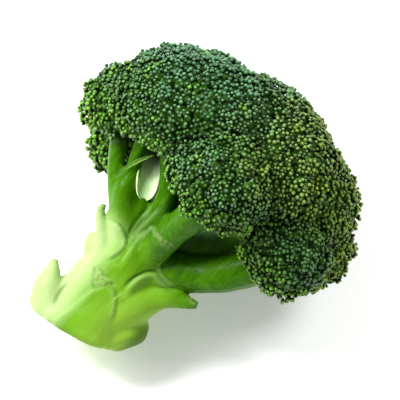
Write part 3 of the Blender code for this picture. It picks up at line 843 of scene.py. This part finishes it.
def dome_buds(dome, others, draw):
    """Places, axes and sizes of a dome's buds, the cluster each is in, and the clusters and lobes."""
    lobes = scattered(LOBE_SPACING, dome.radius, draw)
    clusters = scattered(CLUSTER_SPACING, dome.radius, draw)
    place = np.arange(CLUSTER_BUDS)
    reach = BUD_SPACING * np.sqrt((place + 0.3) / np.pi)
    turn = GOLDEN_TURN * place
    frames = facing_frames(clusters, draw.uniform(0.0, 2.0 * np.pi, len(clusters)))
    across = (reach * np.cos(turn))[:, None, None] * frames[None, :, 0] / dome.radius
    along = (reach * np.sin(turn))[:, None, None] * frames[None, :, 1] / dome.radius
    ways = (clusters + across + along).reshape(-1, 3)
    ways = unit(ways + draw.normal(scale=BUD_NUDGE * BUD_SPACING / dome.radius, size=ways.shape))
    owner = np.tile(np.arange(len(clusters)), CLUSTER_BUDS)
    nearest, first, second = nearest_two(ways, clusters)
    own = nearest == owner
    ways, owner, first, second = ways[own], owner[own], first[own], second[own]
    lobe, lobe_first, lobe_second = nearest_two(ways, lobes)
    groove = dome.radius * (second - first) / 2.0
    valley = dome.radius * (lobe_second - lobe_first) / 2.0
    rise = CLUSTER_RISE * soft_step(groove, 0.0, 2.0) + LOBE_RISE * soft_step(valley, 0.0, 4.0) - SKIN_DROP
    rise += CLUSTER_UNEVEN * draw.normal(size=len(clusters))[owner]
    rise += BUD_UNEVEN * draw.normal(size=len(ways))
    axes = ways + CLUSTER_SPLAY * (ways - clusters[owner]) + LOBE_SPLAY * (ways - lobes[lobe])
    axes = unit(axes + draw.normal(scale=LEAN_UNEVEN, size=ways.shape))
    places = dome.middle + (dome.radius + rise)[:, None] * ways
    sizes = draw.uniform(*BUD_SIZES, len(ways))
    sizes *= MIDDLE_SIZE + 0.16 * soft_step(dome.radius * first, 0.5, 2.4)
    cell = np.ones(len(ways), dtype=bool)
    cleft = np.zeros(len(ways))
    for other in others:
        gap = length_of(places - other.middle)[:, 0]
        power = gap ** 2 - other.radius ** 2
        own_power = length_of(places - dome.middle)[:, 0] ** 2 - dome.radius ** 2
        cell &= own_power < power + CELL_SLACK
        fillet = TOP_FILLET if min(dome.middle[2], other.middle[2]) > TOP_LEVEL else FILLET
        closeness = np.clip(1.0 - (gap - other.radius) / fillet, 0.0, 1.0)
        beside = (power - own_power) / (2.0 * np.linalg.norm(dome.middle - other.middle))
        if fillet == FILLET:
            cleft = np.maximum(cleft, np.clip(1.0 - beside / CLEFT_WIDTH, 0.0, 1.0))
        between = unit((places - dome.middle) / dome.radius + (places - other.middle) / other.radius)
        places = places + (FILLET_LIFT * fillet * closeness ** 2)[:, None] * between
    level = ways @ dome.lean
    cell &= level > LOW_SKIRTS.get(dome.name, UNDERSIDE)
    sunk = BUD_RADIUS - laid_down(places)[:, 2] / MM
    places = places + np.maximum(sunk, 0.0)[:, None] * LYING[2]
    tone = TONE_SHARES[0] * draw.uniform(size=len(clusters))[owner]
    tone += TONE_SHARES[1] * draw.uniform(size=len(lobes))[lobe]
    tone += TONE_SHARES[2] * draw.uniform(size=len(ways))
    fresh = draw.uniform(size=len(clusters)) < FRESH_SHARE
    fresh = np.where(fresh[owner], FRESH_MOST, 0.0) * draw.uniform(0.5, 1.0, len(ways))
    fresh = np.maximum(fresh, soft_step(-level, -0.22, 0.34) * draw.uniform(0.3, 1.0, len(ways)))
    # The gap mark is painted shade: dark in the grooves, the valleys and the clefts between domes.
    gap = 1.0 - GROOVE_SHADE * soft_step(groove, 0.0, 1.3) - VALLEY_SHADE * soft_step(valley, 0.0, 3.0)
    gap = np.maximum(gap, CLEFT_PAINTED_SHADE * cleft)
    looks = np.stack([tone, fresh, gap], axis=1)
    return *(part[cell] for part in (places, axes, sizes, owner, looks)), clusters, lobes


florets = [name for name in sorted(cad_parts) if name.startswith("floret_")]
domes = [Dome(name.removeprefix("floret_")) for name in florets]
rows = []
for index, dome in enumerate(domes):
    others = [other for other in domes if other is not dome]
    rows.append(dome_buds(dome, others, np.random.default_rng(index + 11)))

# Buds of neighbouring clusters and domes may not sit in the same spot.
everyone = np.concatenate([row[0] for row in rows])
nearby = KDTree(len(everyone))
for index, place in enumerate(everyone):
    nearby.insert(place, index)
nearby.balance()
kept = np.ones(len(everyone), dtype=bool)
for index, place in enumerate(everyone):
    if kept[index]:
        for _, other, _ in nearby.find_range(place, TOO_NEAR):
            if other > index:
                kept[other] = False

# One bud: an egg of four folded sepals, closed at the tip. Each ring is a height and a radius, as shares
# of the bud's radius, and how deep the folds between the sepals are there. Its ends are heights only.
BUD_SIDES = 8
BUD_RINGS = ((-1.05, 0.45, 0.0), (-0.15, 1.0, 0.05), (0.62, 0.74, 0.14))
BUD_ENDS = (-1.6, 1.02)


def bud_pattern():
    """Points and triangles of one bud of radius 1 that stands upright."""
    folded = (np.arange(BUD_SIDES) % 2)[:, None]
    rings = []
    for height, radius, fold in BUD_RINGS:
        rings.append(radius * (1.0 - fold * folded) * circle(BUD_SIDES) + (0.0, 0.0, height))
    return lofted(np.array(rings)[None], np.array([[(0.0, 0.0, height) for height in BUD_ENDS]]))


BUD_PAINTED_SHADE = (0.002, 0.012, 0.0005)
BUD_DARK = (0.016, 0.080, 0.004)
BUD_MID = (0.058, 0.185, 0.016)
BUD_BLOOM = (0.085, 0.230, 0.120)
BUD_OLIVE = (0.220, 0.330, 0.016)
BUD_FRESH = (0.190, 0.450, 0.012)
BUD_PAINTED_TIP_HIGHLIGHT = (0.26, 0.44, 0.24)

# Where a colour comes in over the upright head, from none to full: across, to the back, and in height.
BLOOM_HEIGHTS = (118.0, 136.0)
OPEN_DEPTHS, OPEN_HEIGHTS = (-32.0, -12.0), (104.0, 122.0)
RIPER_ACROSS, SUNNY_ACROSS = (-20.0, 28.0), (2.0, 36.0)
SHADED_DEPTHS, SHADED_HEIGHTS = (-16.0, -40.0), (122.0, 104.0)
LOW_LEFT_ACROSS, LOW_LEFT_HEIGHTS = (-44.0, -66.0), (112.0, 92.0)

bud_skin, tree, shader = new_material("bud_skin", Roughness=0.32, Specular_IOR_Level=0.17)
place = mark_of(tree, "as_grown", "Vector")
x, y, z = node(tree, "SeparateXYZ", Vector=place)
tone, tip = mark_of(tree, "tone"), mark_of(tree, "tip")
open_side = worked_out(tree, "MAXIMUM", ramp(z, *OPEN_HEIGHTS), ramp(y, *OPEN_DEPTHS))
riper = share(effect(tree, bloom, Place=place, Size=16.0, Cover=0.74), ramp(x, *RIPER_ACROSS))
shaded = share(ramp(y, *SHADED_DEPTHS), ramp(z, *SHADED_HEIGHTS))
low_left = share(ramp(x, *LOW_LEFT_ACROSS), ramp(z, *LOW_LEFT_HEIGHTS))
colour = coated(BUD_DARK, (
    (tone, 1.0, BUD_MID),
    (effect(tree, bloom, Place=place, Size=24.0, Cover=0.62), 1.0, BUD_BLOOM),
    (ramp(z, *BLOOM_HEIGHTS), 0.5, BUD_BLOOM),
    (riper, open_side, BUD_OLIVE),
    (share(ramp(x, *SUNNY_ACROSS), open_side), 0.55, BUD_OLIVE),
    (shaded, 0.38, BUD_DARK),
    (mark_of(tree, "fresh"), 1.0, BUD_FRESH),
    (low_left, 0.55, BUD_FRESH),
    (mark_of(tree, "gap"), 1.0, BUD_PAINTED_SHADE),
    # Painted highlight: the tip of each bud is painted paler, more on paler buds.
    (ramp(tip, 0.86, 1.0), ramp(tone, 0.0, 1.6), BUD_PAINTED_TIP_HIGHLIGHT),
))
# Painted shade: the lower part of each bud is darkened nearly to black.
colour = blend(ramp(tip, 0.28, 0.90), BUD_PAINTED_SHADE, colour)
sepals = node(tree, "TexNoise", Vector=place, Scale=1.6, Detail=2.0)["Fac"]
finish_skin(tree, shader, colour, node(tree, "Bump", Strength=0.25, Distance=0.0003, Height=sepals))

BRANCHLET_GREEN = (0.016, 0.064, 0.001)
BRANCHLET_PALE = (0.045, 0.140, 0.004)
branchlet_skin, tree, shader = new_material("branchlet_skin", Roughness=0.5, Specular_IOR_Level=0.15)
place = mark_of(tree, "as_grown", "Vector")
lines = effect(tree, fibre, Place=place, Width=0.8)
colour = coated(BRANCHLET_GREEN, (
    (lines, 1.0, BRANCHLET_PALE),
    (effect(tree, bloom, Place=place, Size=10.0, Cover=0.55), 0.3, FLESH_WAX),
))
finish_skin(tree, shader, colour, node(tree, "Bump", Strength=0.3, Distance=0.0003, Height=lines))

# A bud's baking layout: how far each ring and the tip lie from the middle of its square, and the base.
TILE_REACH = (0.40, 0.27, 0.13, 0.0)
TILE_BASE = 0.48


def bud_tiles(count, corners):
    """Baking layout for so many buds: each has a square of its own and lies in it like an opened flower."""
    reach = np.array(TILE_REACH)[np.minimum(corners // BUD_SIDES, len(BUD_RINGS))]
    turn = 2.0 * np.pi * (corners % BUD_SIDES) / BUD_SIDES
    base = slice(-2 * BUD_SIDES, -BUD_SIDES)
    turn[base, 0] = turn[base, 1:].mean(axis=1)
    turn[-BUD_SIDES - 1, 0] = 2.0 * np.pi * (BUD_SIDES - 0.5) / BUD_SIDES
    reach[base, 0] = TILE_BASE
    spread = 0.5 + reach[..., None] * np.stack([np.cos(turn), np.sin(turn)], axis=-1)
    across = math.ceil(math.sqrt(count))
    tile = np.stack([np.arange(count) % across, np.arange(count) // across], axis=1)
    return ((spread.reshape(1, -1, 2) + tile[:, None]) / across).reshape(-1, 2)


# The middle of the crown is packed with fine branchlets, too close to see between. Each ring of their
# mass is a radius and a height.
HEART = ((26, 93), (38, 95), (43, 101), (44, 108), (41, 117), (34, 126), (23, 134), (10, 139.5))
HEART_SIDES = 40
HEART_UNEVEN = 0.02


def heart():
    """The mass of branchlets in the middle of the crown."""
    rings = [radius * circle(HEART_SIDES) + (0.0, 0.0, height) for radius, height in HEART]
    points, faces = lofted(np.array(rings)[None])
    return points * (1.0 + HEART_UNEVEN * ripple(points, 9.0, 6))[:, None], faces


# Branchlets: limbs go from the stem's end out to a knot in each lobe, and twigs from there to each
# cluster of buds. Radii of limbs are shares of the stem's, and those of twigs are in millimetres.
KNOT_REACH = 0.55
LIMB_RADII = (0.36, 0.30, 0.24)
TWIG_RADII = (1.1, 0.85, 0.9, 2.2)
TWIG_DROP, TWIG_FLARE = 4.5, 2.3
ROOT_DEPTH, BOW_PLACE, BOW_LIFT = 1.5, 0.35, 2.0
CORE_FILL, CORE_FLAT, CORE_STEPS = 0.78, 0.55, 14
LIMB_SIDES, TWIG_SIDES, CORE_SIDES = 8, 6, 28


def branchlets(dome, ways, lobes):
    """A dome's limbs and twigs, out to clusters that lie these ways, and the close mass at its core."""
    lobe, away, beyond = nearest_two(ways, lobes)
    knots = dome.middle + KNOT_REACH * dome.radius * lobes
    ends = knots[np.unique(lobe)]
    roots = np.broadcast_to(dome.foot - ROOT_DEPTH * dome.lean, ends.shape)
    bows = dome.foot + BOW_PLACE * (ends - dome.foot) + BOW_LIFT * dome.lean
    radii = dome.stem_radius * np.array([LIMB_RADII])
    limbs = tubes(np.stack([roots, bows, ends], axis=1), radii, LIMB_SIDES)

    valley = dome.radius * (beyond - away) / 2.0
    reach = (dome.radius - TWIG_DROP + LOBE_RISE * soft_step(valley, 0.0, 4.0))[:, None]
    first, low = knots[lobe], dome.middle + (reach - TWIG_FLARE) * ways
    paths = np.stack([first, 0.5 * (first + low), low, dome.middle + reach * ways], axis=1)
    twigs = tubes(paths, np.array([TWIG_RADII]), TWIG_SIDES)

    turn = np.linspace(0.0, np.pi, CORE_STEPS)
    reach = CORE_FILL * dome.radius
    along = -reach * np.cos(turn) * np.where(np.cos(turn) > 0, CORE_FLAT, 1.0)
    path = dome.middle + along[:, None] * dome.lean
    core = tubes(path[None], reach * np.maximum(np.sin(turn), 0.02)[None], CORE_SIDES)
    return [limbs, twigs, core]


pattern, pattern_faces = bud_pattern()
pattern_tip = soft_step(pattern[:, 2], -1.2, 1.0)
start = 0
for dome, row in zip(domes, rows):
    *row, clusters, lobes = row
    chosen = kept[start:start + len(row[0])]
    start += len(row[0])
    places, axes, sizes, owner, looks = (part[chosen] for part in row)
    draw = np.random.default_rng(len(places))
    frames = facing_frames(axes, draw.uniform(0.0, 2.0 * np.pi, len(axes)))
    shaped = np.einsum("pk,bkx->bpx", pattern, frames) * (BUD_RADIUS * sizes)[:, None, None]
    points = (places[:, None] + shaped).reshape(-1, 3)
    faces = (pattern_faces + len(pattern) * np.arange(len(places))[:, None, None]).reshape(-1, 3)
    tone, fresh, gap = np.repeat(looks, len(pattern), axis=0).T
    marks = {"tone": tone, "fresh": fresh, "gap": gap, "tip": np.tile(pattern_tip, len(places))}
    floret = ["floret_" + dome.name]
    piece = add_piece("buds_" + dome.name, points, faces, floret, bud_skin, marks)
    layout = piece.data.uv_layers.new(name="OFBake")
    layout.data.foreach_set("uv", bud_tiles(len(places), pattern_faces).astype(np.float32).ravel())

    shapes = branchlets(dome, clusters[np.unique(owner)], lobes)
    if dome.name == "top":
        shapes.append(heart())
    points, faces = merged(shapes)
    add_piece("branchlets_" + dome.name, points, faces, [], branchlet_skin, {})


# ---- Table, light and camera ----
# A plain pale table top in a bright room, with a big soft lamp over the head's left shoulder and a weaker
# one over its right. The camera looks down on the head from its front.

TABLE_HALF = 3.0
TABLE_WHITE = (0.90, 0.90, 0.90, 1.0)
LIGHT_WHITE = (1.0, 1.0, 1.0, 1.0)
TABLE_GLOW = 0.26
ROOM_LIGHT = 0.42

corners = TABLE_HALF * np.array([(-1, -1, 0), (1, -1, 0), (1, 1, 0), (-1, 1, 0)])
table = new_object("table", new_mesh("table", corners, np.array([(0, 1, 2, 3)])))
table_top = new_material(
    "table_top", Base_Color=TABLE_WHITE, Roughness=0.6,
    Emission_Color=LIGHT_WHITE, Emission_Strength=TABLE_GLOW,
)
table.data.materials.append(table_top[0])

world = bpy.data.worlds.new("room")
bpy.context.scene.world = world
world.use_nodes = True
background = world.node_tree.nodes["Background"].inputs
background["Color"].default_value = LIGHT_WHITE
background["Strength"].default_value = ROOM_LIGHT

LOOK_TURN = math.radians(-49.10)
LOOK_TILT = math.radians(27.10)
CAMERA_ROLL = math.radians(3.25)
CAMERA_AWAY = 2.40
CAMERA_LENS = 449.4
LOOK_AT = Vector((0.00729, 0.00009, 0.06472))

looking = Matrix.Rotation(LOOK_TURN, 3, "Z") @ Matrix.Rotation(LOOK_TILT, 3, "X")
right, above, back = looking.col
camera = new_object("camera", bpy.data.cameras.new("camera"))
camera.data.lens = CAMERA_LENS
rolled = looking.to_4x4() @ Matrix.Rotation(CAMERA_ROLL, 4, "Z")
camera.matrix_world = Matrix.Translation(LOOK_AT + CAMERA_AWAY * back) @ rolled
bpy.context.scene.camera = camera

# Each lamp: which way it is from the head, and its power.
LAMP_AWAY = 0.9
LAMP_SIZE = 0.36
for name, toward, power in (
    ("key_lamp", -0.60 * right + 0.52 * above + 0.60 * back, 15.5),
    ("fill_lamp", 0.62 * right + 0.50 * above + 0.60 * back, 5.0),
):
    lamp = new_object(name, bpy.data.lights.new(name, "AREA"))
    lamp.data.size = LAMP_SIZE
    lamp.data.energy = power
    lamp.location = LOOK_AT + LAMP_AWAY * toward.normalized()
    lamp.rotation_euler = (-toward).to_track_quat("-Z", "Y").to_euler()
bpy.context.scene.view_settings.view_transform = "Standard"
